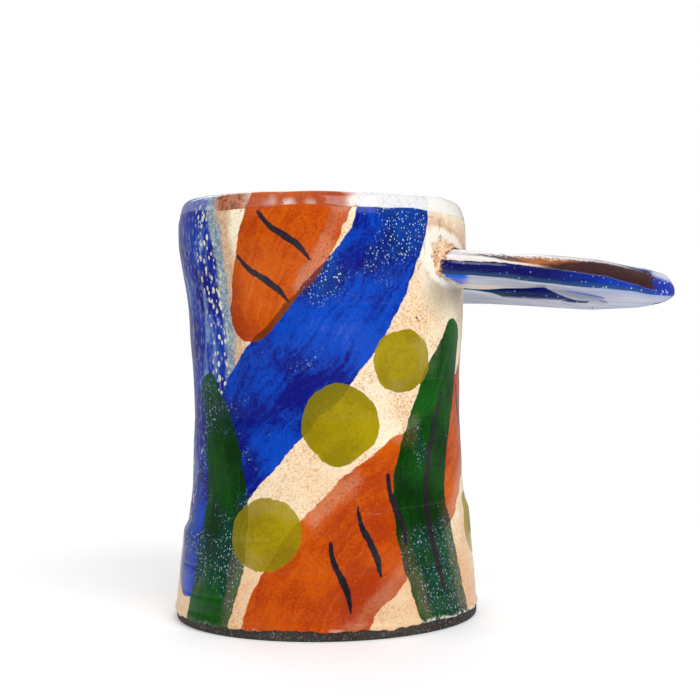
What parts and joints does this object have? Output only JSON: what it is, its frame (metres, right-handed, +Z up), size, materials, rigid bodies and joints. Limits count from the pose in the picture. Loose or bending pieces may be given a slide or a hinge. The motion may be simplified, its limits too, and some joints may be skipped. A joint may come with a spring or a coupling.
{
  "type": "clay mug",
  "caption": "Hand-built clay mug with a waisted wall, a bevelled lip, a liner glaze inside, a painted coat outside and a flat, pointed loop handle that stands out level from its side.",
  "frame": {"origin": "middle of the underside of the slab, where the mug rests on the table", "axes": "+Z up the mug, +X from the mug towards the tip of the handle, +Y away from the camera in the picture"},
  "size_m": [0.1334, 0.0796, 0.1077],
  "materials": {
    "bare_clay_dark": "matte, bare, darkened by the fire",
    "bare_clay": "matte, sandy, with pinholes and dark flecks",
    "rough_clay": "matte, rough, with fine cracks",
    "handle_glaze": "glossy blue glaze, brown on the bevel and bluish grey underneath",
    "liner_glaze": "glossy, clear, over pale clay",
    "painted_coat": "translucent brushed slips in blue, green, orange and ochre under a satin glaze"
  },
  "bodies": {
    "root": {"base_slab": "bare_clay_dark", "wall": "bare_clay", "seam_coil": "bare_clay", "near_arm": "handle_glaze", "far_arm": "handle_glaze", "near_luting": "rough_clay", "far_luting": "rough_clay", "liner_glaze": "liner_glaze", "outer_coat": "painted_coat"}
  },
  "joints": []
}
